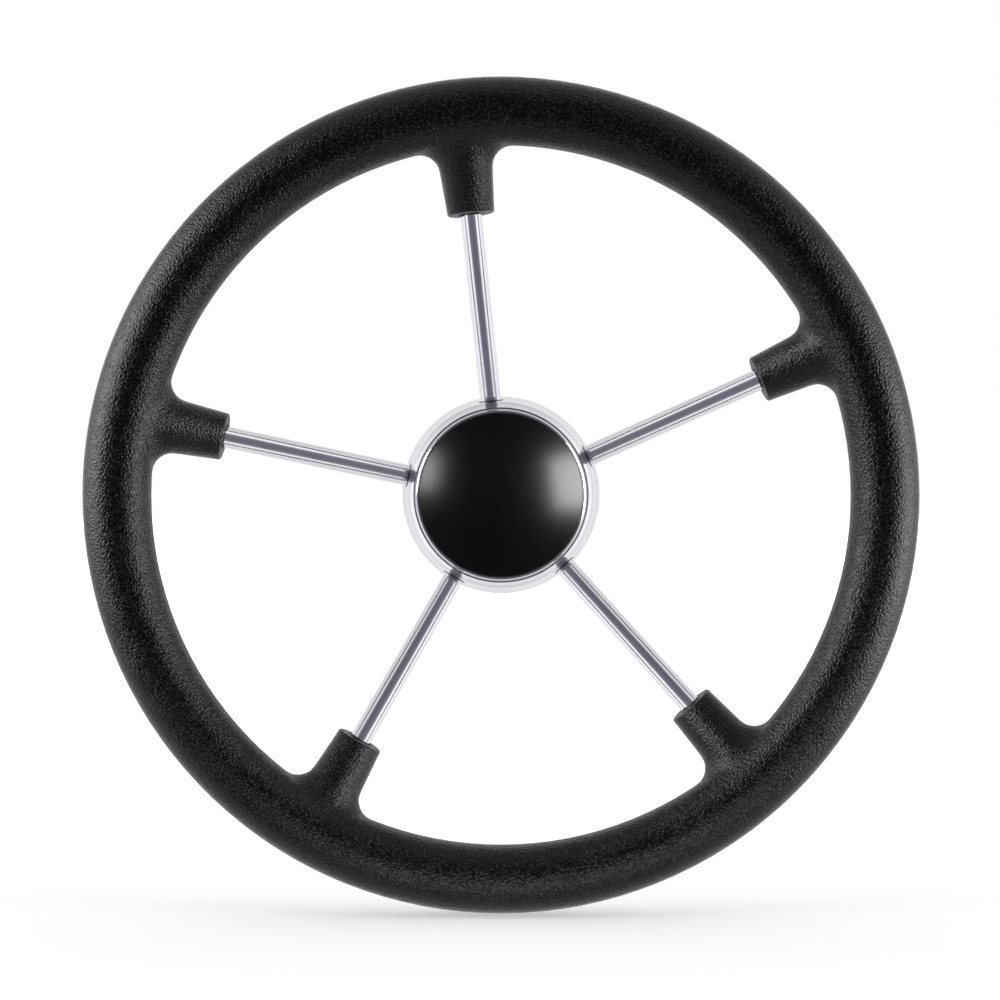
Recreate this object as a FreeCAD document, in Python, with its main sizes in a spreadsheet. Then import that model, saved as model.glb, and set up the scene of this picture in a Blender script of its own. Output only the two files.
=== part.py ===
import FreeCAD, Part
import math
import os
import Sketcher

# A five-spoke boat steering wheel. The wheel's axis is Y and the driver looks along +Y.
# The origin is the centre of the boss's rear face, where the wheel goes on to the helm shaft.
# Heights are measured forward from that face, towards the driver, so a height is minus Y.

SIZES = [
    # rim and grip
    ("wheel_diameter", 343.0),
    ("grip_diameter", 28.0),
    ("tube_diameter", 16.0),
    ("tube_wall", 1.5),
    ("bond_gap", 0.1),
    # spokes and the sleeves round their outer ends
    ("spoke_count", 5),
    ("spoke_diameter", 9.0),
    ("dish_angle", 25.0),
    ("sleeve_length", 39.8),
    ("sleeve_wall", 5.3),
    ("sleeve_root_step", 1.4),
    ("sleeve_lip_round", 1.0),
    ("root_fillet", 9.0),
    # boss, from its rear face forward
    ("tail_length", 19.8),
    ("head_back", 3.3),
    ("head_front", 2.0),
    ("boss_wall", 7.5),
    ("head_step", 3.0),
    ("boss_chamfer", 1.0),
    ("shaft_diameter", 19.05),
    ("bore_taper", 12.0),
    ("key_width", 4.8),
    ("key_depth", 2.4),
    ("socket_depth", 5.0),
    ("socket_gap", 0.05),
    ("weld_gap", 0.05),
    ("seat_gap", 0.05),
    # hub shell
    ("shell_diameter", 87.6),
    ("shell_draft", 8.0),
    ("shell_sheet", 1.2),
    ("shell_corner", 5.0),
    ("shoulder_radius", 7.6),
    ("shoulder_rise", 1.7),
    ("shoulder_turn", 68.3),
    ("shell_hole_gap", 0.15),
    ("bead_diameter", 2.0),
    # centre cap
    ("cap_inset", 0.5),
    ("cap_dome_radius", 90.0),
    ("cap_wall", 2.0),
    ("cap_edge_height", 1.2),
    ("cap_edge_round", 0.5),
    ("skirt_gap", 0.3),
    ("skirt_wall", 1.5),
    ("skirt_clearance", 1.2),
    ("leg_count", 6),
    ("leg_slot", 3.0),
    ("hook_reach", 0.7),
    ("hook_height", 2.0),
    ("hook_angle", 24.0),
]

# How far apart two equal sizes may come out
TOLERANCE = 1e-4

doc = FreeCAD.newDocument("boat_steering_wheel")
sheet = doc.addObject("Spreadsheet::Sheet", "Sizes")
for row, (alias, number) in enumerate(SIZES, start=1):
    sheet.set("A%d" % row, alias)
    sheet.set("B%d" % row, str(number))
    sheet.setAlias("B%d" % row, alias)
doc.recompute()

# Sizes that follow from the driving ones, as expressions on the sheet
CORE_RADIUS = "((Sizes.wheel_diameter - Sizes.grip_diameter) / 2)"
SPOKE_RADIUS = "(Sizes.spoke_diameter / 2)"
TUBE_RADIUS = "(Sizes.tube_diameter / 2)"
BORE_RADIUS = "(Sizes.shaft_diameter / 2)"
TAIL_RADIUS = f"({BORE_RADIUS} + Sizes.boss_wall)"
HEAD_RADIUS = f"({TAIL_RADIUS} + Sizes.head_step)"
SHELL_FLOOR = "(Sizes.tail_length + Sizes.shell_sheet)"
HEAD_HEIGHT = f"({SHELL_FLOOR} + Sizes.seat_gap)"
SOCKET_RADIUS = f"({SPOKE_RADIUS} + Sizes.socket_gap)"
SOCKET_HALF_HEIGHT = f"({SOCKET_RADIUS} / cos(Sizes.dish_angle))"
# The spokes' lines leave the boss's head at this height and rise to the rim from there
SPOKE_HEIGHT = f"({HEAD_HEIGHT} + Sizes.head_back + {SOCKET_HALF_HEIGHT})"
BOSS_LENGTH = f"({SPOKE_HEIGHT} + {SOCKET_HALF_HEIGHT} + Sizes.head_front)"


def line_height(radius):
    """The height of the spokes' lines at a radius from the wheel's axis, as an expression."""
    return f"({SPOKE_HEIGHT} + ({radius} - {HEAD_RADIUS}) * tan(Sizes.dish_angle))"


RIM_HEIGHT = line_height(CORE_RADIUS)
# The shoulder's arc touches the drafted wall, which starts as wide as the shell at its back
SHELL_RADIUS = "(Sizes.shell_diameter / 2)"
SHOULDER_CENTRE_HEIGHT = f"({line_height(SHELL_RADIUS)} + Sizes.shoulder_rise)"
SHOULDER_CENTRE_RADIUS = (
    f"({SHELL_RADIUS} - (({SHOULDER_CENTRE_HEIGHT} - Sizes.tail_length)"
    " * sin(Sizes.shell_draft) + Sizes.shoulder_radius) / cos(Sizes.shell_draft))"
)
# The bead is centred on the middle of the sheet, where the shoulder's arc ends
SHOULDER_MIDDLE = "(Sizes.shoulder_radius - Sizes.shell_sheet / 2)"
BEAD_RADIUS = "(Sizes.bead_diameter / 2)"
BEAD_CENTRE_RADIUS = f"({SHOULDER_CENTRE_RADIUS} + {SHOULDER_MIDDLE} * cos(Sizes.shoulder_turn))"
BEAD_HEIGHT = f"({SHOULDER_CENTRE_HEIGHT} + {SHOULDER_MIDDLE} * sin(Sizes.shoulder_turn))"
# The cap's rim rests on the bead's upper side
CAP_RADIUS = f"({BEAD_CENTRE_RADIUS} - Sizes.cap_inset)"
CAP_SEAT = f"({BEAD_HEIGHT} + sqrt({BEAD_RADIUS} ^ 2 - Sizes.cap_inset ^ 2) + Sizes.seat_gap)"


def value(expression):
    """The number that an expression on the sheet has now."""
    return float(sheet.evalExpression(expression))


def at(height, radius):
    """A point of a section sketch: its radius from the wheel's axis, and its height forward."""
    return radius, height


def by_spoke(along, aside):
    """A point of a section sketch, along the top spoke's line from the rim's core to the hub,
    and aside from that line towards the driver."""
    height = f"{RIM_HEIGHT} - ({along}) * sin(Sizes.dish_angle) + ({aside}) * cos(Sizes.dish_angle)"
    radius = f"{CORE_RADIUS} - ({along}) * cos(Sizes.dish_angle) - ({aside}) * sin(Sizes.dish_angle)"
    return at(height, radius)


def along_spoke(radius):
    """How far along the spoke's line from the rim's core a radius from the wheel's axis is."""
    return f"(({CORE_RADIUS} - {radius}) / cos(Sizes.dish_angle))"


def new_body(label):
    body = doc.addObject("PartDesign::Body", label)
    body.Label = label
    return body


def new_sketch(body, plane_role, name):
    plane = next(item for item in body.Origin.OriginFeatures if item.Role == plane_role)
    sketch = body.newObject("Sketcher::SketchObject", name)
    sketch.AttachmentSupport = [(plane, "")]
    sketch.MapMode = "FlatFace"
    return sketch


def section_sketch(body, name, turn=0.0):
    """A sketch of half a section through the wheel's axis, turned from the top spoke about that
    axis. Its first direction is the radius and its second the height forward."""
    sketch = new_sketch(body, "YZ_Plane", name)
    upright = FreeCAD.Rotation(FreeCAD.Vector(0, 0, 1), 90)
    about_axis = FreeCAD.Rotation(FreeCAD.Vector(1, 0, 0), turn)
    sketch.AttachmentOffset = FreeCAD.Placement(FreeCAD.Vector(0, 0, 0), about_axis * upright)
    return sketch


def bind(sketch, name, constraint, expression):
    index = sketch.addConstraint(constraint)
    sketch.renameConstraint(index, name)
    sketch.setExpression("Constraints." + name, expression)


def pin(sketch, name, geometry, position, point):
    """Holds one point of a sketch element at the place that two expressions give."""
    for kind, expression in zip(("DistanceX", "DistanceY"), point):
        constraint = Sketcher.Constraint(kind, -1, 1, geometry, position, value(expression))
        bind(sketch, name + kind[-1], constraint, expression)


def vector(point):
    return FreeCAD.Vector(value(point[0]), value(point[1]), 0)


def outline(sketch, corners, arcs=()):
    """Draws a closed outline through corners. arcs maps the number of a corner to the radius of
    the arc from it to the next one and the side it bulges to, 1 left or -1 right."""
    arcs = dict(arcs)
    places = [vector(corner) for corner in corners]
    for number, (start, end) in enumerate(zip(places, places[1:] + places[:1])):
        if number in arcs:
            radius, side = arcs[number]
            chord = end - start
            left = FreeCAD.Vector(-chord.y, chord.x, 0).normalize()
            rise = value(radius) - math.sqrt(value(radius) ** 2 - (chord.Length / 2) ** 2)
            middle = (start + end) / 2 + left * side * rise
            element = Part.Arc(start, middle, end)
        else:
            element = Part.LineSegment(start, end)
        sketch.addGeometry(element)
    for number, corner in enumerate(corners):
        following = (number + 1) % len(corners)
        first, last = ends(sketch, number, places[number])
        first_next = ends(sketch, following, places[following])[0]
        sketch.addConstraint(Sketcher.Constraint("Coincident", number, last, following, first_next))
        pin(sketch, "corner%d" % number, number, first, corner)
    for number, (radius, side) in arcs.items():
        constraint = Sketcher.Constraint("Radius", number, value(radius))
        bind(sketch, "arc%d" % number, constraint, radius)
    doc.recompute()


def ends(sketch, geometry, start):
    """Which end of an element, 1 or 2, lies at its start in the outline, and the other one."""
    if sketch.getPoint(geometry, 1).distanceToPoint(start) < TOLERANCE:
        return 1, 2
    return 2, 1


def circle(sketch, name, centre, radius):
    geometry = sketch.addGeometry(Part.Circle(vector(centre), FreeCAD.Vector(0, 0, 1), value(radius)))
    pin(sketch, name, geometry, 3, centre)
    bind(sketch, name + "Radius", Sketcher.Constraint("Radius", geometry, value(radius)), radius)


def spoke_line(sketch):
    """The top spoke's line as the sketch's first axis."""
    start, end = by_spoke("0", "0"), by_spoke(along_spoke("0"), "0")
    line = sketch.addGeometry(Part.LineSegment(vector(start), vector(end)), True)
    pin(sketch, "axisStart", line, 1, start)
    pin(sketch, "axisEnd", line, 2, end)


def must_cut(body, before, name):
    """Stops if a cut left the body with the volume that it had before."""
    if body.Shape.Volume > before - TOLERANCE:
        raise RuntimeError(name + " cuts nothing")


def turned(body, kind, sketch, name, axis="V_Axis", angle="360", midplane=False):
    """A Revolution or a Groove of a sketch about one of its axes, through an angle."""
    cuts = kind == "Groove"
    before = body.Shape.Volume if cuts else 0.0
    feature = body.newObject("PartDesign::" + kind, name)
    feature.Profile = sketch
    feature.ReferenceAxis = (sketch, [axis])
    feature.Angle = value(angle)
    feature.setExpression("Angle", angle)
    feature.Midplane = midplane
    body.Tip = feature
    doc.recompute()
    if cuts:
        must_cut(body, before, name)
    return feature


def cut_through(body, sketch, name):
    """A Pocket right through, both ways from the sketch's plane."""
    before = body.Shape.Volume
    feature = body.newObject("PartDesign::Pocket", name)
    feature.Profile = sketch
    feature.Type = "ThroughAll"
    feature.Midplane = True
    body.Tip = feature
    doc.recompute()
    must_cut(body, before, name)
    return feature


def round_the_axis(body, originals, name, count):
    """Copies features evenly round the wheel's axis."""
    axis = next(item for item in body.Origin.OriginFeatures if item.Role == "Y_Axis")
    pattern = body.newObject("PartDesign::PolarPattern", name)
    pattern.Originals = originals
    pattern.Axis = (axis, [""])
    pattern.Angle = 360
    pattern.setExpression("Occurrences", "Sizes." + count)
    body.Tip = pattern
    doc.recompute()
    return pattern


def rounded(body, name, edges, size, kind="Fillet"):
    """A Fillet or a Chamfer of the edges of the body's last feature that a test picks."""
    base = body.Tip
    picked = ["Edge%d" % (i + 1) for i, edge in enumerate(base.Shape.Edges) if edges(base.Shape, edge)]
    feature = body.newObject("PartDesign::" + kind, name)
    feature.Base = (base, picked)
    feature.setExpression("Radius" if kind == "Fillet" else "Size", size)
    body.Tip = feature
    doc.recompute()
    return feature


def between(*surfaces):
    """A test for edges at which two given kinds of surface meet."""
    def test(shape, edge):
        faces = shape.ancestorsOfType(edge, Part.Face)
        return sorted(face.Surface.TypeId for face in faces) == sorted(surfaces)
    return test


def at_height(height, radius):
    """A test for whole circles round the wheel's axis at a height and a radius."""
    def test(shape, edge):
        curve = None if edge.Degenerated else edge.Curve
        return (
            curve is not None
            and curve.TypeId == "Part::GeomCircle"
            and abs(curve.Center.y + value(height)) < TOLERANCE
            and abs(curve.Radius - value(radius)) < TOLERANCE
        )
    return test


def spoke_bore(body, name, radius, outer, inner, depth="0"):
    """Cuts a round bore on every spoke's line, from one radius from the wheel's axis in to another
    and on by a depth along the line."""
    sketch = section_sketch(body, name + "_section")
    mouth, bottom = along_spoke(outer), f"{along_spoke(inner)} + {depth}"
    ring = [(mouth, "0"), (mouth, radius), (bottom, radius), (bottom, "0")]
    outline(sketch, [by_spoke(along, aside) for along, aside in ring])
    spoke_line(sketch)
    bore = turned(body, "Groove", sketch, name, "Axis0")
    return round_the_axis(body, [bore], name + "_pattern", "spoke_count")


def make_rim_tube():
    """The bent and welded tube that stiffens the rim."""
    body = new_body("rim_tube")
    sketch = section_sketch(body, "tube_section")
    centre = at(RIM_HEIGHT, CORE_RADIUS)
    circle(sketch, "outer", centre, TUBE_RADIUS)
    circle(sketch, "inner", centre, f"{TUBE_RADIUS} - Sizes.tube_wall")
    turned(body, "Revolution", sketch, "tube")
    return body


def make_grip():
    """The moulded grip: a ring whose five tapered sleeves run in along the spokes."""
    body = new_body("grip")
    centre = at(RIM_HEIGHT, CORE_RADIUS)
    sketch = section_sketch(body, "ring_section", value("180 / Sizes.spoke_count"))
    circle(sketch, "ring", centre, "Sizes.grip_diameter / 2")
    turned(body, "Revolution", sketch, "ring")

    # One sleeve is a cone about the spoke's line, cut off level with the wheel's axis
    end_height = f"({CORE_RADIUS} - Sizes.sleeve_length)"
    end = along_spoke(end_height)
    root_radius = "(Sizes.grip_diameter / 2 - Sizes.sleeve_root_step)"
    end_radius = f"({SPOKE_RADIUS} + Sizes.sleeve_wall)"
    tip = f"({end} + {end_radius})"
    tip_radius = f"({end_radius} - ({root_radius} - {end_radius}) * {end_radius} / {end})"
    sketch = section_sketch(body, "sleeve_section")
    cone = [("0", "0"), ("0", f"-{root_radius}"), (tip, f"-{tip_radius}"), (tip, "0")]
    outline(sketch, [by_spoke(along, aside) for along, aside in cone])
    spoke_line(sketch)
    sleeve = turned(body, "Revolution", sketch, "sleeve", "Axis0")
    sketch = new_sketch(body, "XZ_Plane", "sleeve_end_section")
    side = f"(2 * {end_radius})"
    low = f"({end_height} - {side})"
    corners = [(f"-{side}", low), (side, low), (side, end_height), (f"-{side}", end_height)]
    outline(sketch, corners)
    sleeve_end = cut_through(body, sketch, "sleeve_end")
    round_the_axis(body, [sleeve, sleeve_end], "sleeves", "spoke_count")

    # The sleeves swell into the ring, and their ends are slightly rounded
    root = between("Part::GeomToroid", "Part::GeomCone")
    rounded(body, "sleeve_roots", root, "Sizes.root_fillet")
    end_edge = between("Part::GeomPlane", "Part::GeomCone")
    rounded(body, "sleeve_lips", end_edge, "Sizes.sleeve_lip_round")

    # The moulding closes round the tube and the ends of the spokes
    sketch = section_sketch(body, "tube_space_section")
    circle(sketch, "space", centre, f"{TUBE_RADIUS} + Sizes.bond_gap")
    turned(body, "Groove", sketch, "tube_space")
    spoke_bore(body, "rod_space", f"({SPOKE_RADIUS} + Sizes.bond_gap)", CORE_RADIUS, low)
    return body


def make_spoke(number):
    """One rod, from its socket in the boss to the tube that its end is shaped to. The first is the
    top one, and the others follow clockwise as the driver sees them."""
    label = "spoke_%d" % number
    body = new_body(label)
    sketch = section_sketch(body, label + "_rod_section")
    inner = f"{along_spoke(HEAD_RADIUS)} + Sizes.socket_depth - Sizes.socket_gap"
    rod = [("0", "0"), ("0", SPOKE_RADIUS), (inner, SPOKE_RADIUS), (inner, "0")]
    outline(sketch, [by_spoke(along, aside) for along, aside in rod])
    spoke_line(sketch)
    turned(body, "Revolution", sketch, label + "_rod", "Axis0")
    sketch = section_sketch(body, label + "_saddle_section")
    circle(sketch, "saddle", at(RIM_HEIGHT, CORE_RADIUS), f"{TUBE_RADIUS} + Sizes.weld_gap")
    turned(body, "Groove", sketch, label + "_saddle")
    # The turn below gives the axis, and its angle follows from the spoke's number
    about_axis = FreeCAD.Rotation(FreeCAD.Vector(0, 1, 0), 90)
    body.Placement = FreeCAD.Placement(FreeCAD.Vector(0, 0, 0), about_axis)
    turn = f"{number - 1} * 360 / Sizes.spoke_count"
    body.setExpression("Placement.Rotation.Angle", turn)
    return body


def make_hub_boss():
    """The turned boss: a tail behind the shell, and a wider head that holds the spokes."""
    body = new_body("hub_boss")
    bore_front = f"({BORE_RADIUS} - {BOSS_LENGTH} / (2 * Sizes.bore_taper))"
    sketch = section_sketch(body, "boss_section")
    corners = [
        at("0", BORE_RADIUS),
        at("0", TAIL_RADIUS),
        at(HEAD_HEIGHT, TAIL_RADIUS),
        at(HEAD_HEIGHT, HEAD_RADIUS),
        at(BOSS_LENGTH, HEAD_RADIUS),
        at(BOSS_LENGTH, bore_front),
    ]
    outline(sketch, corners)
    turned(body, "Revolution", sketch, "boss")
    rounded(body, "tail_chamfer", at_height("0", TAIL_RADIUS), "Sizes.boss_chamfer", "Chamfer")
    front = at_height(BOSS_LENGTH, HEAD_RADIUS)
    rounded(body, "head_chamfer", front, "Sizes.boss_chamfer", "Chamfer")
    sketch = new_sketch(body, "XZ_Plane", "keyway_section")
    side, top = "Sizes.key_width / 2", f"{BORE_RADIUS} + Sizes.key_depth"
    outline(sketch, [(f"-{side}", "0"), (side, "0"), (side, top), (f"-{side}", top)])
    cut_through(body, sketch, "keyway")
    outside = f"({HEAD_RADIUS} + {SPOKE_RADIUS})"
    spoke_bore(body, "socket", SOCKET_RADIUS, outside, HEAD_RADIUS, "Sizes.socket_depth")
    return body


def make_hub_shell():
    """The pressed cup round the boss, with its mouth beaded over to hold the cap."""
    body = new_body("hub_shell")
    wall = "cos(Sizes.shell_draft)", "sin(Sizes.shell_draft)"
    mouth = "cos(Sizes.shoulder_turn)", "sin(Sizes.shoulder_turn)"
    corner = "Sizes.shell_corner"
    corner_height = f"(Sizes.tail_length + {corner})"
    corner_radius = f"({SHELL_RADIUS} - {corner} * (1 + {wall[1]}) / {wall[0]})"
    inner_corner = f"({corner} - Sizes.shell_sheet)"
    shoulder = "Sizes.shoulder_radius"
    inner_shoulder = f"({shoulder} - Sizes.shell_sheet)"
    hole = f"{TAIL_RADIUS} + Sizes.seat_gap"

    def round_corner(reach, direction):
        return at(f"{corner_height} + {reach} * {direction[1]}",
                  f"{corner_radius} + {reach} * {direction[0]}")

    def round_shoulder(reach, direction):
        return at(f"{SHOULDER_CENTRE_HEIGHT} + {reach} * {direction[1]}",
                  f"{SHOULDER_CENTRE_RADIUS} + {reach} * {direction[0]}")

    # Out along the floor and up the outside of the sheet, then back down its inside
    sketch = section_sketch(body, "cup_section")
    corners = [
        at("Sizes.tail_length", hole),
        at("Sizes.tail_length", corner_radius),
        round_corner(corner, wall),
        round_shoulder(shoulder, wall),
        round_shoulder(shoulder, mouth),
        round_shoulder(inner_shoulder, mouth),
        round_shoulder(inner_shoulder, wall),
        round_corner(inner_corner, wall),
        at(SHELL_FLOOR, corner_radius),
        at(SHELL_FLOOR, hole),
    ]
    arcs = {1: (corner, -1), 3: (shoulder, -1), 5: (inner_shoulder, 1), 7: (inner_corner, 1)}
    outline(sketch, corners, arcs)
    turned(body, "Revolution", sketch, "cup")
    sketch = section_sketch(body, "bead_section")
    circle(sketch, "bead", at(BEAD_HEIGHT, BEAD_CENTRE_RADIUS), BEAD_RADIUS)
    turned(body, "Revolution", sketch, "bead")
    radius = f"({SPOKE_RADIUS} + Sizes.shell_hole_gap)"
    outside = f"({SHELL_RADIUS} + {SPOKE_RADIUS})"
    spoke_bore(body, "spoke_hole", radius, outside, HEAD_RADIUS)
    return body


def make_centre_cap():
    """The moulded cap: a dome on a skirt of six legs, hooked under the shell's bead."""
    body = new_body("centre_cap")
    skirt = f"({BEAD_CENTRE_RADIUS} - {BEAD_RADIUS} - Sizes.skirt_gap)"
    skirt_inside = f"({skirt} - Sizes.skirt_wall)"
    spoke_half_height = f"{SPOKE_RADIUS} / cos(Sizes.dish_angle)"
    skirt_end = f"({line_height(skirt)} + {spoke_half_height} + Sizes.skirt_clearance)"
    edge_top = f"({CAP_SEAT} + Sizes.cap_edge_height)"
    dome = "Sizes.cap_dome_radius"
    under_dome = "(Sizes.cap_dome_radius - Sizes.cap_wall)"
    dome_centre = f"({edge_top} - sqrt({dome} ^ 2 - {CAP_RADIUS} ^ 2))"
    sketch = section_sketch(body, "cap_section")
    corners = [
        at(f"{dome_centre} + {dome}", "0"),
        at(edge_top, CAP_RADIUS),
        at(CAP_SEAT, CAP_RADIUS),
        at(CAP_SEAT, skirt),
        at(skirt_end, skirt),
        at(skirt_end, skirt_inside),
        at(f"{dome_centre} + sqrt({under_dome} ^ 2 - {skirt_inside} ^ 2)", skirt_inside),
        at(f"{dome_centre} + {under_dome}", "0"),
    ]
    outline(sketch, corners, {0: (dome, 1), 6: (under_dome, -1)})
    turned(body, "Revolution", sketch, "cap")
    rounded(body, "edge_round", at_height(edge_top, CAP_RADIUS), "Sizes.cap_edge_round")

    # Each hook catches the bead from below
    hook_radius = f"({skirt} + Sizes.hook_reach)"
    hook_top = (
        f"({BEAD_HEIGHT} - sqrt({BEAD_RADIUS} ^ 2 - ({hook_radius} - {BEAD_CENTRE_RADIUS}) ^ 2)"
        " - Sizes.seat_gap)"
    )
    hook_root = f"({skirt} - Sizes.skirt_wall / 2)"
    sketch = section_sketch(body, "hook_section")
    corners = [
        at(hook_top, hook_root),
        at(hook_top, hook_radius),
        at(f"{hook_top} - Sizes.hook_height", skirt),
        at(f"{hook_top} - Sizes.hook_height", hook_root),
    ]
    outline(sketch, corners)
    hook = turned(body, "Revolution", sketch, "hook", angle="Sizes.hook_angle", midplane=True)
    round_the_axis(body, [hook], "hooks", "leg_count")

    # Slots halfway between the hooks part the skirt into legs
    inside, outside = f"({skirt_inside} - Sizes.skirt_wall)", f"({skirt} + Sizes.skirt_wall)"
    slot_top = f"({CAP_SEAT} - Sizes.cap_edge_height)"
    slot_bottom = f"({skirt_end} - Sizes.skirt_wall)"
    sketch = section_sketch(body, "slot_section", value("180 / Sizes.leg_count"))
    corners = [
        at(slot_bottom, inside),
        at(slot_bottom, outside),
        at(slot_top, outside),
        at(slot_top, inside),
    ]
    outline(sketch, corners)
    slot_angle = f"2 * asin(Sizes.leg_slot / 2 / {skirt})"
    slot = turned(body, "Groove", sketch, "slot", angle=slot_angle, midplane=True)
    round_the_axis(body, [slot], "slots", "leg_count")
    return body


def check(bodies):
    """Stops if an object failed, or a piece isn't one valid solid."""
    doc.recompute()
    for item in doc.Objects:
        if {"Invalid", "Error"} & set(item.State):
            raise RuntimeError("%s: %s" % (item.Name, item.State))
    for body in bodies:
        shape = body.Shape
        if shape.isNull() or not shape.isValid() or len(shape.Solids) != 1:
            raise RuntimeError(body.Label + " isn't one valid solid")


pieces = [make_grip(), make_rim_tube(), make_hub_boss(), make_hub_shell(), make_centre_cap()]
pieces += [make_spoke(number + 1) for number in range(int(value("Sizes.spoke_count")))]
check(pieces)
os.makedirs("parts", exist_ok=True)
for piece in pieces:
    piece.Shape.exportStep("parts/%s.step" % piece.Label)
    print("%s %.0f mm3" % (piece.Label, piece.Shape.Volume))
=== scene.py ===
import math

import bmesh
import bpy
import numpy as np
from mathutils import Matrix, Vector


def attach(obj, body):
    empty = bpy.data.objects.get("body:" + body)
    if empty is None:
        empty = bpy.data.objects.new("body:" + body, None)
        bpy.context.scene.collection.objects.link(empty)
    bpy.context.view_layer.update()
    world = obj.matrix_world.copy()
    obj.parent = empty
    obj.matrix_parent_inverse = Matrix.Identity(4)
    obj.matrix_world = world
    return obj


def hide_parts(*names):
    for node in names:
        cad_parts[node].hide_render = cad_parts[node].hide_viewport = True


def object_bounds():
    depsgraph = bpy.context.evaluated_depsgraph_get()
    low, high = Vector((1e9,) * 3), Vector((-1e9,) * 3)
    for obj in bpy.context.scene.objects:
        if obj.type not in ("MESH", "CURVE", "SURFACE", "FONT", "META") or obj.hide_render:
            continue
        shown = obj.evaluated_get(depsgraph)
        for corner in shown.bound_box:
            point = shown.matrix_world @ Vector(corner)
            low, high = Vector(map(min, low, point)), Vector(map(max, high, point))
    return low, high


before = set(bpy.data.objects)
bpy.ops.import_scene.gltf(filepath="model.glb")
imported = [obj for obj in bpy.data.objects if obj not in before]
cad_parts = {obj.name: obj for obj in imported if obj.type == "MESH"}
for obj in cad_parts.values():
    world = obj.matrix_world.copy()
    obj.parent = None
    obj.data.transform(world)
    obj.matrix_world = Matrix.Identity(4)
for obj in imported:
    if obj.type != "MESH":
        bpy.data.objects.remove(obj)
cad_low, cad_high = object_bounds()

# Sizes in metres, angles in degrees. Heights are measured forward, so a height is minus Y
MM = 0.001
SPOKE_COUNT = 5
SPOKE_PITCH = 360 / SPOKE_COUNT
DISH_ANGLE = 25.0
SPOKE_RADIUS = 4.5 * MM
GRIP_RADIUS = 14.0 * MM
CORE_RADIUS = cad_high[0] - GRIP_RADIUS
RIM_HEIGHT = -cad_low[1] - GRIP_RADIUS

# A rod is saddled on the rim tube, and its length is along its line from the rim's core. A sleeve's
# length is in from the core
SADDLE_RADIUS = 8.05 * MM
SPOKE_LENGTH = 143.5 * MM
SLEEVE_LENGTH = 39.8 * MM

# The hub shell's section. Centres are a height and a radius, and the wall leans out by the draft
SHELL_DRAFT = 8.0
SHELL_SHEET = 1.2 * MM
SHELL_HOLE = 17.075 * MM
CORNER_RADIUS = 5.0 * MM
CORNER_CENTRE = (24.8 * MM, 38.05 * MM)
SHOULDER_RADIUS = 7.6 * MM
SHOULDER_TURN = 68.3
SHOULDER_CENTRE = (42.157 * MM, 32.983 * MM)
BEAD_RADIUS = 1.0 * MM

# The spoke holes are drilled on each spoke's line from one radius of the wheel to another
HOLE_GAP = 0.15 * MM
DRILL_START = 60.0 * MM
DRILL_END = 24.0 * MM

# The ring of painted shade at the joint where a rod enters the shell, sought between two radii of the
# wheel
JOINT_WIDTH = 0.9 * MM
JOINT_LIFT = 0.12 * MM
JOINT_DEPTH = 0.3 * MM
JOINT_OUTSIDE = 62.0 * MM
JOINT_INSIDE = 34.0 * MM
HALVINGS = 40

# The thin ragged flash that the moulding leaves round each rod: its reach and thickness, the share
# of each that it has at its least, and the share of its thickness that it gains from there
FLASH_REACH = 0.85 * MM
FLASH_LEAST_REACH = 0.25
FLASH_THICKNESS = 0.75 * MM
FLASH_LEAST_THICKNESS = 0.6
FLASH_THICKENING = 0.8
FLASH_GAP = 0.02 * MM
FLASH_WAVES = 11

# How many steps the surfaces have
LATHE_STEPS = 512
BEAD_STEPS = 32
SHELL_FLOOR_STEPS = 12
SHELL_WALL_STEPS = 14
ROD_TURN_STEPS = 128
ROD_LENGTH_STEPS = 48
HOLE_STEPS = 96
LIP_STEPS = 144

# Edges that turn by more degrees than these stay crisp
CRISP = 40
SHELL_CRISP = 50
NEVER_CRISP = 180

# How many waves of noise the grain has to a cell
PATCH_WAVES = 0.12
WOBBLE_WAVES = 0.55
# The next waves set the size of the painted glints, paler points on the grain that stand in for
# highlights
GLINT_WAVES = 1.5
PIT_WAVES = 2.4

# The photograph's view, in pixels of its 1000 pixel frame. The camera's stand-off is in metres from
# the boss's rear face, and its sensor in millimetres
IMAGE_SIZE = 1000.0
FOCAL_LENGTH = 2487.0
WHEEL_CENTRE_ACROSS = 501.0
WHEEL_CENTRE_DOWN = 495.0
WHEEL_LEAN = 6.1
CAMERA_STAND_OFF = 1.1135
SENSOR_WIDTH = 36.0

FLOOR_GAP = 0.4 * MM
FLOOR_SIZE = 40.0


# Surfaces

def grid_faces(rows, columns, close_rows):
    """The corner numbers of the squares between the points of a grid, as one array. The columns
    close into a ring, and so do the rows where asked."""
    down, along = np.arange(rows if close_rows else rows - 1), np.arange(columns)
    row, column = (part.ravel() for part in np.meshgrid(down, along, indexing="ij"))
    below, after = (row + 1) % rows, (column + 1) % columns
    return np.stack([row * columns + column, row * columns + after,
                     below * columns + after, below * columns + column], axis=1)


def smooth(mesh, sharp):
    """Shades a mesh smoothly, apart from edges that turn by more than the angle given."""
    mesh.shade_smooth()
    mesh.set_sharp_from_angle(angle=math.radians(sharp))


def new_mesh(name, points, close_rows=False, sharp=CRISP):
    """A mesh of one grid of points. Points that coincide are merged, so that poles are closed, and
    faces are turned outwards."""
    faces = grid_faces(*points.shape[:2], close_rows)
    mesh = bpy.data.meshes.new(name)
    mesh.from_pydata(points.reshape(-1, 3).tolist(), [], faces.tolist())
    work = bmesh.new()
    work.from_mesh(mesh)
    bmesh.ops.remove_doubles(work, verts=work.verts, dist=MM * 1e-4)
    bmesh.ops.recalc_face_normals(work, faces=work.faces)
    work.to_mesh(mesh)
    work.free()
    smooth(mesh, sharp)
    return mesh


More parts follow.
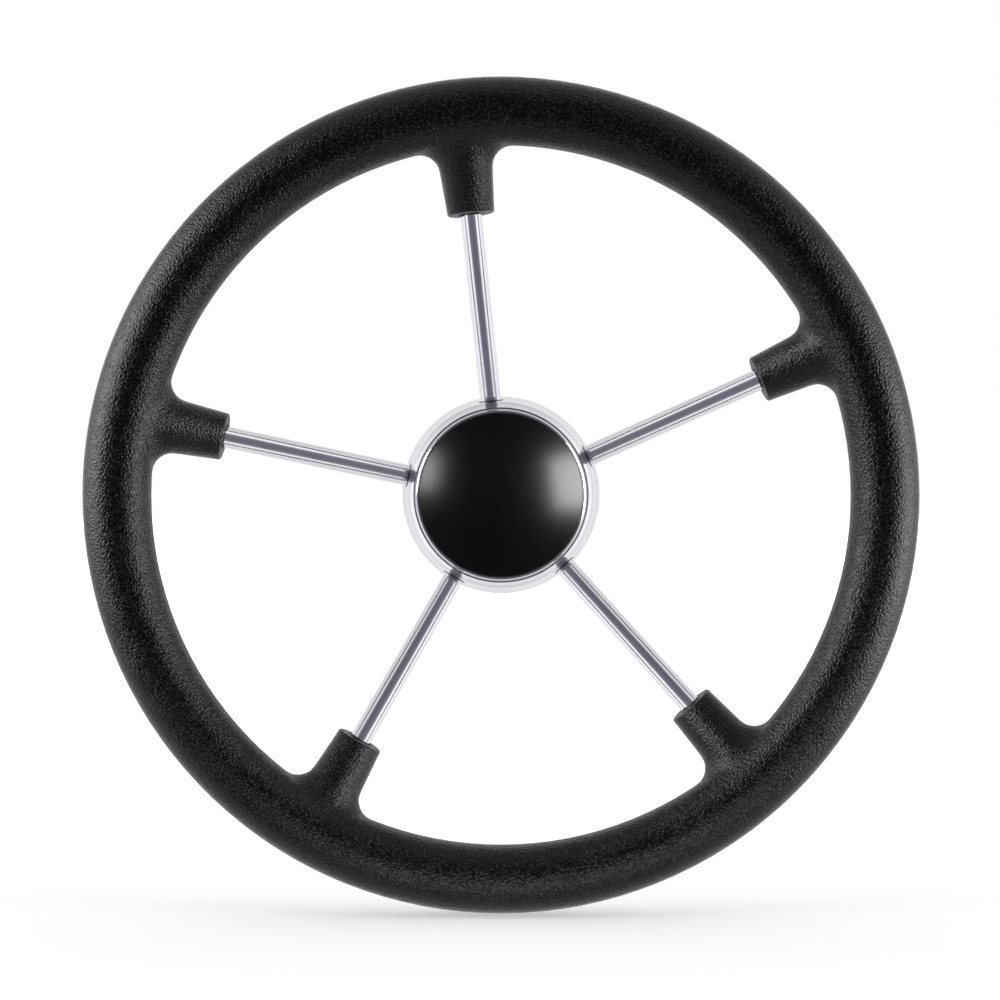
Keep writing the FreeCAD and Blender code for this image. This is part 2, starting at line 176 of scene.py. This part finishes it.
def new_piece(name, points, material, slot, **surface):
    """A piece of the wheel in the scene, made of one grid of points as new_mesh makes it."""
    piece = bpy.data.objects.new(name, new_mesh(name, points, **surface))
    bpy.context.scene.collection.objects.link(piece)
    piece.data.materials.append(material)
    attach(piece, "root")
    return piece


def full_turn(steps):
    """The angles of one turn, as a row."""
    return np.linspace(0, 2 * np.pi, steps, endpoint=False)[None, :]


def lathe(section):
    """The surface that a section leaves when it turns clockwise round the wheel's axis from the top.
    Each row of the section is a height forward and a radius. Its points lie at the radius times the
    sine of the turn across, at the height forward, and at the radius times the cosine up."""
    height, radius, turn = section[:, :1], section[:, 1:], full_turn(LATHE_STEPS)
    return np.stack(np.broadcast_arrays(radius * np.sin(turn), -height, radius * np.cos(turn)), axis=-1)


def arc(centre, radius, start, end, count):
    """Points of a section on an arc: the centre plus the radius times the cosine outwards and the
    sine forward, at even angles in degrees from the outward direction."""
    angle = np.radians(np.linspace(start, end, count))
    return np.stack([centre[0] + radius * np.sin(angle), centre[1] + radius * np.cos(angle)], axis=1)


def arc_point(centre, radius, angle):
    """The one point of an arc at an angle."""
    return arc(centre, radius, angle, angle, count=1)[0]


def by_spoke(number, along, aside, across):
    """Points near a spoke: along its line from the rim's core to the hub, aside from the line
    towards the driver, and across it. The line leaves the core circle at the dish angle, and the
    first spoke points up."""
    dish = math.radians(DISH_ANGLE)
    outward = CORE_RADIUS - along * np.cos(dish) - aside * np.sin(dish)
    height = RIM_HEIGHT - along * np.sin(dish) + aside * np.cos(dish)
    turn = math.radians(SPOKE_PITCH * (number - 1))
    right = across * np.cos(turn) + outward * np.sin(turn)
    up = outward * np.cos(turn) - across * np.sin(turn)
    return np.stack(np.broadcast_arrays(right, -height, up), axis=-1)


def along_at(radius):
    """How far along a spoke's line a radius of the wheel is reached."""
    return (CORE_RADIUS - radius) / math.cos(math.radians(DISH_ANGLE))


def make_rod(number, material):
    """A spoke: a cylinder on the spoke's line, closed by a pole at each end. It starts on the rim
    tube, at the root of the saddle's radius squared less the square of the way aside."""
    turn = full_turn(ROD_TURN_STEPS)
    share = np.concatenate([[0], np.linspace(0, 1, ROD_LENGTH_STEPS + 1), [1]])[:, None]
    radius = np.full_like(share, SPOKE_RADIUS)
    radius[[0, -1]] = 0
    aside, across = radius * np.cos(turn), radius * np.sin(turn)
    start = np.sqrt(SADDLE_RADIUS ** 2 - aside ** 2)
    along = start + share * (SPOKE_LENGTH - start)
    rod = new_piece(f"spoke_{number}_rod", by_spoke(number, along, aside, across), material,
                    "polished_steel")
    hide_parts(f"spoke_{number}")


def shell_section():
    """The section of the shell's sheet as one closed line: the back of its floor, the outer corner,
    the wall and the outer shoulder, and then the same way back inside."""
    floor = CORNER_CENTRE[0] - CORNER_RADIUS
    radii = np.linspace(SHELL_HOLE, CORNER_CENTRE[1], SHELL_FLOOR_STEPS, endpoint=False)
    floor_back = np.stack([np.full_like(radii, floor), radii], axis=1)
    floor_front = np.stack([np.full_like(radii, floor + SHELL_SHEET), radii], axis=1)
    wall_start = arc_point(CORNER_CENTRE, CORNER_RADIUS, SHELL_DRAFT)
    wall_end = arc_point(SHOULDER_CENTRE, SHOULDER_RADIUS, SHELL_DRAFT)
    share = np.linspace(0, 1, SHELL_WALL_STEPS + 2)[1:-1, None]
    return np.concatenate([
        floor_back,
        arc(CORNER_CENTRE, CORNER_RADIUS, -90, SHELL_DRAFT, count=28),
        wall_start + share * (wall_end - wall_start),
        arc(SHOULDER_CENTRE, SHOULDER_RADIUS, SHELL_DRAFT, SHOULDER_TURN, count=36),
        arc(SHOULDER_CENTRE, SHOULDER_RADIUS - SHELL_SHEET, SHOULDER_TURN, SHELL_DRAFT, count=12),
        arc(CORNER_CENTRE, CORNER_RADIUS - SHELL_SHEET, SHELL_DRAFT, -90, count=10),
        floor_front[::-1],
    ])


def make_shell(material):
    """The hub shell: its section turned round the axis, with its five spoke holes cut, and the bead
    as a ring round the end of the sheet. Returns the bead."""
    shell = new_piece("hub_shell_cup", lathe(shell_section()), material, "polished_steel",
                      close_rows=True, sharp=SHELL_CRISP)
    cut_spoke_holes(shell)
    centre = arc_point(SHOULDER_CENTRE, SHOULDER_RADIUS - SHELL_SHEET / 2, SHOULDER_TURN)
    ring = arc(centre, BEAD_RADIUS, 0, 360, count=BEAD_STEPS + 1)[:-1]
    bead = new_piece("hub_shell_bead", lathe(ring), material, "polished_steel",
                     close_rows=True, sharp=NEVER_CRISP)
    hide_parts("hub_shell")
    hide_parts("hub_shell")
    return bead


def cut_spoke_holes(shell):
    """Cuts a round hole on each spoke's line through the wall of the shell. Each drill is a cylinder
    closed by a pole at each end."""
    turn = full_turn(HOLE_STEPS)
    radius = np.array([0, 1, 1, 0])[:, None] * (SPOKE_RADIUS + HOLE_GAP)
    along = along_at(np.array([DRILL_START, DRILL_START, DRILL_END, DRILL_END]))[:, None]
    drills = []
    for number in range(1, SPOKE_COUNT + 1):
        points = by_spoke(number, along, radius * np.cos(turn), radius * np.sin(turn))
        drill = bpy.data.objects.new("drill", new_mesh("drill", points))
        bpy.context.scene.collection.objects.link(drill)
        drills.append(drill)
        cut = shell.modifiers.new("hole", "BOOLEAN")
        cut.operation = "DIFFERENCE"
        cut.solver = "MANIFOLD"
        cut.object = drill
    bpy.context.view_layer.update()
    whole = shell.evaluated_get(bpy.context.evaluated_depsgraph_get())
    holed = bpy.data.meshes.new_from_object(whole)
    shell.modifiers.clear()
    shell.data = holed
    for drill in drills:
        bpy.data.objects.remove(drill)
    smooth(holed, SHELL_CRISP)


def shell_reach(height):
    """The radius of the shell's outer side at a height: the wall's slope below the shoulder, and the
    shoulder's arc above, as the centre's radius plus the root of the arc's radius squared less the
    height above the centre squared."""
    start, wall_radius = arc_point(SHOULDER_CENTRE, SHOULDER_RADIUS, SHELL_DRAFT)
    wall = wall_radius + (start - height) * math.tan(math.radians(SHELL_DRAFT))
    above = np.clip(height - SHOULDER_CENTRE[0], 0, SHOULDER_RADIUS)
    shoulder = SHOULDER_CENTRE[1] + np.sqrt(SHOULDER_RADIUS ** 2 - above ** 2)
    return np.where(height < start, wall, shoulder)


def make_joint_shade_ring(number, material):
    """A ring of painted shade round a rod where it enters the shell: a thin dark ring that lies on the
    shell and stands in for the shadow in the gap. Each point is found by halving the stretch of the
    rod's line that crosses the shell's outer side."""
    turn = full_turn(LIP_STEPS)
    # Each row is a share of the width, out from the rod, and a share of the height, up from the root
    outline = np.array([(0.0, 0.0), (0.0, 1.0), (0.5, 1.0), (1.0, 0.6), (1.0, 0.0)])
    out = SPOKE_RADIUS + outline[:, :1] * JOINT_WIDTH
    aside, across = out * np.cos(turn), out * np.sin(turn)
    outside = np.full_like(aside, along_at(JOINT_OUTSIDE))
    inside = np.full_like(aside, along_at(JOINT_INSIDE))
    for _ in range(HALVINGS):
        middle = (outside + inside) / 2
        place = by_spoke(number, middle, aside, across)
        clear = np.hypot(place[..., 0], place[..., 2]) > shell_reach(-place[..., 1])
        outside = np.where(clear, middle, outside)
        inside = np.where(clear, inside, middle)
    along = outside + JOINT_DEPTH - outline[:, 1:] * (JOINT_DEPTH + JOINT_LIFT)
    new_piece(f"spoke_{number}_joint", by_spoke(number, along, aside, across), material,
              "mill_steel", close_rows=True, sharp=NEVER_CRISP)


def make_flash(number, material):
    """The ragged lip where a sleeve ends on its rod. It rises from the sleeve's end to a crest close
    to the rod and falls to the rod's skin. Its reach and its thickness are each a mean plus a sum of
    sine waves round the rod, with phases drawn from the spoke's number."""
    turn = full_turn(LIP_STEPS)
    draw = np.random.default_rng(number)
    waves = np.arange(2, FLASH_WAVES + 1)[:, None]
    phases = draw.uniform(0, 2 * np.pi, waves.shape)
    sizes = draw.uniform(0.3, 1.0, waves.shape) / np.sqrt(waves)
    ragged = (sizes * np.sin(waves * turn + phases)).sum(axis=0, keepdims=True)
    ragged = 0.5 + 0.5 * ragged / np.abs(ragged).max()
    # Each row is a share of the reach, out of the sleeve, and a share of the thickness, off the rod
    outline = np.array([
        (-0.6, 1.05), (0.0, 1.0), (0.35, 0.9), (0.7, 0.62), (0.95, 0.3), (1.0, 0.12), (0.8, 0.01),
        (0.3, 0.0), (-0.6, 0.0)])
    reach = outline[:, :1] * FLASH_REACH
    reach = np.where(reach < 0, reach, reach * (FLASH_LEAST_REACH + ragged))
    thickening = FLASH_LEAST_THICKNESS + FLASH_THICKENING * ragged
    out = SPOKE_RADIUS + FLASH_GAP + outline[:, 1:] * FLASH_THICKNESS * thickening
    aside, across = out * np.cos(turn), out * np.sin(turn)
    dish = math.radians(DISH_ANGLE)
    end = (SLEEVE_LENGTH - aside * math.sin(dish)) / math.cos(dish)
    return new_piece(f"sleeve_{number}_flash", by_spoke(number, end + reach, aside, across), material,
                     "grip", close_rows=True, sharp=NEVER_CRISP)


# Node helpers

def add(tree, kind, **settings):
    """A new node of a kind, with settings given by name. A value given for an input by its name or
    number is set or linked."""
    node = tree.nodes.new(kind)
    inputs = settings.pop("inputs", {})
    for name, value in settings.items():
        setattr(node, name, value)
    for name, value in inputs.items():
        socket = node.inputs[name]
        if isinstance(value, bpy.types.NodeSocket):
            tree.links.new(value, socket)
        else:
            socket.default_value = value
    return node


def maths(tree, operation, first, second=0.0, third=0.0):
    """The result of one sum on up to three values or sockets."""
    return add(tree, "ShaderNodeMath", operation=operation,
               inputs={0: first, 1: second, 2: third}).outputs[0]


def ranged(tree, value, low, high, to_low=0.0, to_high=1.0):
    """A value carried from one range to another, and held at the ends."""
    return add(tree, "ShaderNodeMapRange", inputs={
        "Value": value, "From Min": low, "From Max": high,
        "To Min": to_low, "To Max": to_high}).outputs["Result"]


def mixed(tree, factor, first, second):
    """A colour between two colours."""
    return add(tree, "ShaderNodeMix", data_type="RGBA",
               inputs={0: factor, 6: (*first, 1), 7: (*second, 1)}).outputs[2]


def noise(tree, place, scale, detail, roughness=0.5):
    """A noise node read at a place, with its scale in waves to the metre."""
    return add(tree, "ShaderNodeTexNoise", inputs={
        "Vector": place, "Scale": scale, "Detail": detail, "Roughness": roughness})


def new_group(name, inputs, outputs):
    """An empty node group with named inputs and their usual values, and named outputs."""
    group = bpy.data.node_groups.new(name, "ShaderNodeTree")
    for label, usual in inputs.items():
        socket = group.interface.new_socket(label, in_out="INPUT", socket_type="NodeSocketFloat")
        socket.default_value = usual
    for label in outputs:
        group.interface.new_socket(label, in_out="OUTPUT", socket_type="NodeSocketFloat")
    return group, group.nodes.new("NodeGroupInput"), group.nodes.new("NodeGroupOutput")


def put_out(group, result, **values):
    """Links a group's results to its outputs by name."""
    for label, value in values.items():
        group.links.new(value, result.inputs[label])


# Shared effects

def make_pebble_grain():
    """Moulded leather grain: rounded cells of one size, bent by noise, with finer pits on them, and
    a slow unevenness in depth. Height is in cell heights, the middle output is 1 on the painted
    glints, small points of the cells that are coloured paler to stand in for highlights, and Patch
    changes slowly over the part."""
    group, given, result = new_group(
        "pebble_grain", {"Cell Size": 0.8 * MM, "Bend": 0.35, "Pits": 0.25, "Unevenness": 0.3},
        ("Height", "Speck", "Patch"))
    size, bend, pits, unevenness = given.outputs[:4]
    place = add(group, "ShaderNodeTexCoord").outputs["Object"]
    cells = maths(group, "DIVIDE", 1.0, size)
    patch = noise(group, place, maths(group, "MULTIPLY", cells, PATCH_WAVES), detail=2.0).outputs["Fac"]

    wobble = noise(group, place, maths(group, "MULTIPLY", cells, WOBBLE_WAVES),
                   detail=1.0).outputs["Color"]
    centred = add(group, "ShaderNodeVectorMath", operation="SUBTRACT", inputs={
        0: wobble, 1: (0.5, 0.5, 0.5)}).outputs[0]
    reach = maths(group, "MULTIPLY", maths(group, "MULTIPLY", bend, size), 4.0)
    shift = add(group, "ShaderNodeVectorMath", operation="SCALE", inputs={
        0: centred, "Scale": reach}).outputs[0]
    bent = add(group, "ShaderNodeVectorMath", operation="ADD", inputs={0: place, 1: shift}).outputs[0]

    pebbles = add(group, "ShaderNodeTexVoronoi", feature="SMOOTH_F1", inputs={
        "Vector": bent, "Scale": cells, "Smoothness": 0.25}).outputs["Distance"]
    # A cell is a dome, 1 high about its middle and 0 at its edge, with its pits and its patch's depth
    dome = ranged(group, pebbles, 0.05, 0.75, to_low=1.0, to_high=0.0)
    pitting = noise(group, bent, maths(group, "MULTIPLY", cells, PIT_WAVES), detail=2.0).outputs["Fac"]
    pitted = maths(group, "MULTIPLY_ADD", pitting, pits, dome)
    depth = maths(group, "MULTIPLY", maths(group, "SUBTRACT", patch, 0.5), unevenness)
    height = maths(group, "MULTIPLY", pitted, maths(group, "ADD", depth, 1.0))

    glint_noise = noise(group, bent, maths(group, "MULTIPLY", cells, GLINT_WAVES), detail=1.0).outputs["Fac"]
    # The painted glints are fully seen on top of the cells and a quarter as much in the valleys
    top = ranged(group, pebbles, 0.35, 0.75, to_low=1.0, to_high=0.25)
    painted_glint = maths(group, "MULTIPLY", ranged(group, glint_noise, 0.53, 0.66), top)
    put_out(group, result, Height=height, Speck=painted_glint, Patch=patch)
    return group


def make_polish_haze():
    """Buffed metal: a cloudy change of gloss and a fine ripple left by the buff. The roughness is the
    gloss plus the haze times the cloud."""
    group, given, result = new_group(
        "polish_haze", {"Cloud Size": 12 * MM, "Ripple Size": 2.5 * MM, "Gloss": 0.07, "Haze": 0.05},
        ("Roughness", "Height", "Cloud"))
    cloud_size, ripple_size, gloss, haze = given.outputs[:4]
    place = add(group, "ShaderNodeTexCoord").outputs["Object"]
    cloud = noise(group, place, maths(group, "DIVIDE", 1.0, cloud_size), detail=4.0,
                  roughness=0.6).outputs["Fac"]
    ripple = noise(group, place, maths(group, "DIVIDE", 1.0, ripple_size), detail=1.0).outputs["Fac"]
    roughness = maths(group, "MULTIPLY_ADD", cloud, haze, gloss)
    put_out(group, result, Roughness=roughness, Height=ripple, Cloud=cloud)
    return group


def make_turning_marks():
    """The fine rings that a lathe leaves round the wheel's axis, which is the Y axis: noise read
    along the radius and along the axis alone. The roughness is the gloss plus the haze times it."""
    group, given, result = new_group(
        "turning_marks", {"Pitch": 0.25 * MM, "Gloss": 0.2, "Haze": 0.15},
        ("Roughness", "Height", "Ring"))
    pitch, gloss, haze = given.outputs[:3]
    place = add(group, "ShaderNodeTexCoord").outputs["Object"]
    x, y, z = add(group, "ShaderNodeSeparateXYZ", inputs={0: place}).outputs
    square = maths(group, "ADD", maths(group, "MULTIPLY", x, x), maths(group, "MULTIPLY", z, z))
    path = add(group, "ShaderNodeCombineXYZ", inputs={0: maths(group, "SQRT", square), 1: y}).outputs[0]
    rings = noise(group, path, maths(group, "DIVIDE", 1.0, pitch), detail=2.0).outputs["Fac"]
    roughness = maths(group, "MULTIPLY_ADD", rings, haze, gloss)
    put_out(group, result, Roughness=roughness, Height=rings, Ring=rings)
    return group


# Materials

def new_material(name, **shader):
    """A material whose shader has the given constants. Returns it with its tree and shader."""
    material = bpy.data.materials.new(name)
    material.use_nodes = True
    tree = material.node_tree
    surface = tree.nodes["Principled BSDF"]
    for label, value in shader.items():
        surface.inputs[label.replace("_", " ")].default_value = value
    return material, tree, surface


def put_group(tree, group, **values):
    """A node group placed in a material, with its own values."""
    node = add(tree, "ShaderNodeGroup", node_tree=group)
    for label, value in values.items():
        node.inputs[label.replace("_", " ")].default_value = value
    return node


def bumped(tree, surface, height, distance):
    """Feeds a height to the shader's normal. The distance is the height of 1, in metres."""
    bump = add(tree, "ShaderNodeBump", inputs={"Strength": 1.0, "Distance": distance, "Height": height})
    tree.links.new(bump.outputs["Normal"], surface.inputs["Normal"])


def finished(tree, surface, effect, mask, first, second, relief=0.0):
    """Feeds the shader from an effect: a colour that goes from the first to the second by one of the
    effect's masks, the effect's roughness, and its height where a relief is given."""
    tree.links.new(mixed(tree, effect.outputs[mask], first, second), surface.inputs["Base Color"])
    tree.links.new(effect.outputs["Roughness"], surface.inputs["Roughness"])
    if relief:
        bumped(tree, surface, effect.outputs["Height"], relief)


def make_grip_rubber(grain):
    """Black self-skinned foam with a leather grain, with painted glints: points of the grain coloured
    paler to stand in for highlights.
    """
    material, tree, surface = new_material("grip_rubber", Specular_IOR_Level=0.22)
    cells = put_group(tree, grain, Cell_Size=1.0 * MM, Bend=0.2, Pits=0.7, Unevenness=0.8)
    # The paler colour is painted highlight: glints on the points of the grain
    colour = mixed(tree, cells.outputs["Speck"], (0.0003, 0.0003, 0.0004), (0.016, 0.016, 0.017))
    tree.links.new(colour, surface.inputs["Base Color"])
    roughness = ranged(tree, cells.outputs["Patch"], 0.3, 0.7, to_low=0.14, to_high=0.20)
    tree.links.new(roughness, surface.inputs["Roughness"])
    bumped(tree, surface, cells.outputs["Height"], 0.19 * MM)
    return material


def make_polished_steel(haze):
    """Buffed stainless steel, almost a mirror."""
    material, tree, surface = new_material("polished_steel", Metallic=1.0)
    buff = put_group(tree, haze, Gloss=0.13, Haze=0.06)
    finished(tree, surface, buff, "Cloud", (0.82, 0.81, 0.86), (0.88, 0.88, 0.90))
    return material


def make_pressed_steel(haze):
    """Pressed stainless steel, polished, a little greyer than the rods."""
    material, tree, surface = new_material("pressed_steel", Metallic=1.0)
    buff = put_group(tree, haze, Cloud_Size=20 * MM, Gloss=0.09, Haze=0.07)
    finished(tree, surface, buff, "Cloud", (0.78, 0.78, 0.82), (0.84, 0.84, 0.86))
    return material


def make_painted_joint_shade(haze):
    """Painted shade in the gap between a rod and the shell: a dull dark metal that stands in for the
    shadow there.
    """
    material, tree, surface = new_material("painted_joint_shade", Metallic=1.0)
    gap_shade_cloud = put_group(tree, haze, Cloud_Size=1.5 * MM, Gloss=0.4, Haze=0.2)
    finished(tree, surface, gap_shade_cloud, "Cloud", (0.02, 0.02, 0.025), (0.08, 0.08, 0.09))
    return material


def make_turned_steel(marks):
    """Machined stainless steel with the rings of the lathe."""
    material, tree, surface = new_material("turned_steel", Metallic=1.0)
    rings = put_group(tree, marks, Gloss=0.2, Haze=0.15)
    finished(tree, surface, rings, "Ring", (0.58, 0.58, 0.60), (0.72, 0.72, 0.74), relief=0.012 * MM)
    return material


def make_mill_steel(haze):
    """Steel tube as drawn, dull and cloudy."""
    material, tree, surface = new_material("mill_steel", Metallic=1.0)
    scale = put_group(tree, haze, Gloss=0.32, Haze=0.25)
    finished(tree, surface, scale, "Cloud", (0.42, 0.42, 0.43), (0.56, 0.56, 0.57), relief=0.02 * MM)
    return material


def make_cap_plastic(haze):
    """Satin black moulding with a faint ripple."""
    material, tree, surface = new_material("cap_plastic", IOR=1.3)
    skin = put_group(tree, haze, Cloud_Size=6 * MM, Ripple_Size=1.5 * MM, Gloss=0.22, Haze=0.06)
    finished(tree, surface, skin, "Cloud", (0.0003, 0.0003, 0.0005), (0.0006, 0.0006, 0.001),
             relief=0.004 * MM)
    return material


def dress(name, material):
    """Gives a CAD node its material."""
    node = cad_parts[name]
    node.data.materials.clear()
    node.data.materials.append(material)


# Studio

def make_world():
    """Soft surroundings: dark where the camera stands, a bright band round that, pale to the sides
    and behind, and a dark place straight behind the wheel. They are read from the angle to the
    wheel's axis, and grow a little darker overhead and underfoot. The camera itself sees plain
    white."""
    world = bpy.data.worlds.new("studio")
    bpy.context.scene.world = world
    world.use_nodes = True
    tree = world.node_tree
    tree.nodes.clear()
    direction = add(tree, "ShaderNodeTexCoord").outputs["Generated"]
    forward = add(tree, "ShaderNodeVectorMath", operation="DOT_PRODUCT", inputs={
        0: direction, 1: (0, -1, 0)}).outputs["Value"]
    ramp = add(tree, "ShaderNodeValToRGB", inputs={0: ranged(tree, forward, -1, 1)})
    # Each stop is an angle from the camera's side of the axis, and the colour there
    stops = (
        (180, (0.95, 0.95, 0.96)), (112, (0.88, 0.88, 0.92)), (100, (1.10, 1.10, 1.10)),
        (64, (1.20, 1.20, 1.20)), (57, (0.19, 0.18, 0.23)), (36, (0.14, 0.135, 0.16)),
        (20, (0.10, 0.10, 0.11)))
    band = ramp.color_ramp
    while len(band.elements) < len(stops):
        band.elements.new(0.5)
    for element, (angle, colour) in zip(band.elements, stops):
        element.position = (1 + math.cos(math.radians(angle))) / 2
        element.color = (*colour, 1)
    up = add(tree, "ShaderNodeSeparateXYZ", inputs={0: direction}).outputs["Z"]
    above = ranged(tree, up, 0.4, 0.85, to_low=1.0, to_high=0.7)
    below = ranged(tree, up, -0.95, -0.5, to_low=0.8, to_high=1.0)
    behind = ranged(tree, forward, -0.99, -0.965, to_low=0.40, to_high=1.0)
    level = maths(tree, "MULTIPLY", maths(tree, "MULTIPLY", above, below), behind)
    soft = add(tree, "ShaderNodeBackground", inputs={
        "Color": ramp.outputs["Color"], "Strength": level})
    white = add(tree, "ShaderNodeBackground", inputs={"Color": (1, 1, 1, 1)})
    seen = add(tree, "ShaderNodeLightPath").outputs["Is Camera Ray"]
    both = add(tree, "ShaderNodeMixShader", inputs={
        0: seen, 1: soft.outputs[0], 2: white.outputs[0]})
    output = add(tree, "ShaderNodeOutputWorld")
    tree.links.new(both.outputs[0], output.inputs["Surface"])


def make_softbox(name, across, up, distance, width, height, radiance, lit, aim=(0, 0, 0)):
    """A flat soft lamp that stands off from its aim, the hub as a rule, at an angle across and an
    angle up. Its energy is four times its radiance times its area. Flags keep its light on the
    pieces in the lit collection."""
    lamp = bpy.data.lights.new(name, "AREA")
    lamp.shape = "RECTANGLE"
    lamp.size = width
    lamp.size_y = height
    lamp.energy = 4 * radiance * width * height
    box = bpy.data.objects.new(name, lamp)
    bpy.context.scene.collection.objects.link(box)
    turn, rise = math.radians(across), math.radians(up)
    away = (math.sin(turn) * math.cos(rise), -math.cos(turn) * math.cos(rise), math.sin(rise))
    box.location = [place + distance * part for place, part in zip(aim, away)]
    box.rotation_euler = (math.pi / 2 - rise, 0, turn)
    box.light_linking.receiver_collection = lit
    return lamp


def add_grid(lamp, spread):
    """A grid on a softbox, which narrows its light to a cone. Straight ahead it stays as bright,
    because its energy is multiplied by one less the half angle over the half angle's tangent."""
    half = math.radians(spread) / 2
    lamp.spread = 2 * half
    lamp.energy *= (math.tan(half) - half) / math.tan(half)


def collected(name, pieces):
    """A collection of pieces that share their lamps."""
    group = bpy.data.collections.new(name)
    for piece in pieces:
        group.objects.link(piece)
    return group


def make_floor():
    """A pale floor that the camera sees as white, with the wheel's soft shadow on it. It is level in
    the photograph's view, so it is a square turned about the wheel's axis by the wheel's lean."""
    lean = math.radians(WHEEL_LEAN)
    drop = -cad_low[2] + FLOOR_GAP
    half = FLOOR_SIZE / 2
    across, back = np.array([(-half, -half), (half, -half), (half, half), (-half, half)]).T
    right = across * math.cos(lean) - drop * math.sin(lean)
    up = -across * math.sin(lean) - drop * math.cos(lean)
    mesh = bpy.data.meshes.new("floor")
    mesh.from_pydata(np.stack([right, back, up], axis=1).tolist(), [], [(0, 1, 2, 3)])
    floor = bpy.data.objects.new("floor", mesh)
    bpy.context.scene.collection.objects.link(floor)
    mesh.materials.append(make_floor_paper())


def make_floor_paper():
    """Pale matt paper. To the camera it glows, less near the wheel so that the shadow shows, and
    reflections and the light of lamps pass through it."""
    material = bpy.data.materials.new("floor_paper")
    material.use_nodes = True
    tree = material.node_tree
    tree.nodes.clear()
    paths = add(tree, "ShaderNodeLightPath")
    paper = add(tree, "ShaderNodeBsdfDiffuse", inputs={"Color": (0.8, 0.8, 0.8, 1)})
    place = add(tree, "ShaderNodeTexCoord").outputs["Object"]
    away = add(tree, "ShaderNodeVectorMath", operation="LENGTH", inputs={0: place}).outputs["Value"]
    lift = ranged(tree, away, 0.3, 1.5, to_low=0.49, to_high=1.0)
    glow = add(tree, "ShaderNodeEmission", inputs={
        "Color": (1, 1, 1, 1), "Strength": maths(tree, "MULTIPLY", lift, paths.outputs["Is Camera Ray"])})
    lit = add(tree, "ShaderNodeAddShader", inputs={0: paper.outputs[0], 1: glow.outputs[0]})
    clear = add(tree, "ShaderNodeBsdfTransparent")
    unseen = maths(tree, "MAXIMUM", paths.outputs["Is Glossy Ray"], paths.outputs["Is Shadow Ray"])
    both = add(tree, "ShaderNodeMixShader", inputs={
        0: unseen, 1: lit.outputs[0], 2: clear.outputs[0]})
    output = add(tree, "ShaderNodeOutputMaterial")
    tree.links.new(both.outputs[0], output.inputs["Surface"])
    return material


def make_camera():
    """The photograph's view: in front of the hub on the wheel's axis, turned by the wheel's lean."""
    lens = bpy.data.cameras.new("camera")
    lens.sensor_width = SENSOR_WIDTH
    lens.lens = SENSOR_WIDTH * FOCAL_LENGTH / IMAGE_SIZE
    lens.shift_x = 0.5 - WHEEL_CENTRE_ACROSS / IMAGE_SIZE
    lens.shift_y = WHEEL_CENTRE_DOWN / IMAGE_SIZE - 0.5
    camera = bpy.data.objects.new("camera", lens)
    bpy.context.scene.collection.objects.link(camera)
    camera.location = (0, -CAMERA_STAND_OFF, 0)
    camera.rotation_euler = (math.pi / 2, math.radians(WHEEL_LEAN), 0)
    bpy.context.scene.camera = camera


# The wheel

haze = make_polish_haze()
polished = make_polished_steel(haze)
rubber = make_grip_rubber(make_pebble_grain())
# The joint rings are painted shade: dark metal standing in for the shadow in the gap round each rod
painted_joint_shade = make_painted_joint_shade(haze)
dress("grip", rubber)
dress("hub_boss", make_turned_steel(make_turning_marks()))
dress("rim_tube", make_mill_steel(haze))
dress("centre_cap", make_cap_plastic(haze))
bead = make_shell(make_pressed_steel(haze))
moulded = [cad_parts["grip"]]
for number in range(1, SPOKE_COUNT + 1):
    make_rod(number, polished)
    make_joint_shade_ring(number, painted_joint_shade)
    moulded.append(make_flash(number, rubber))

# The studio: lamps stand at angles from the wheel's axis, with sizes and distances in metres

make_world()
front = collected("lit_by_front_lamps", [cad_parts["centre_cap"], bead])
rim = collected("lit_by_rim_lamps", moulded)
make_softbox("left_front_softbox", across=-48, up=17, distance=1.5, width=0.62, height=0.50,
             radiance=16.0, lit=front)
make_softbox("right_front_softbox", across=46, up=3, distance=1.5, width=0.85, height=0.76,
             radiance=25.0, lit=front)
make_softbox("right_rim_softbox", across=72, up=-8, distance=1.2, width=1.05, height=1.00,
             radiance=5.5, lit=rim)
make_softbox("left_rim_softbox", across=-74, up=22, distance=1.2, width=1.10, height=0.90,
             radiance=6.0, lit=rim)
low_rim = make_softbox("low_rim_softbox", across=0, up=-20, distance=0.27, width=0.30, height=0.18,
                       radiance=5.0, lit=rim, aim=(0, -RIM_HEIGHT, -CORE_RADIUS))
add_grid(low_rim, spread=60)
make_floor()
make_camera()
bpy.context.scene.view_settings.view_transform = "Standard"
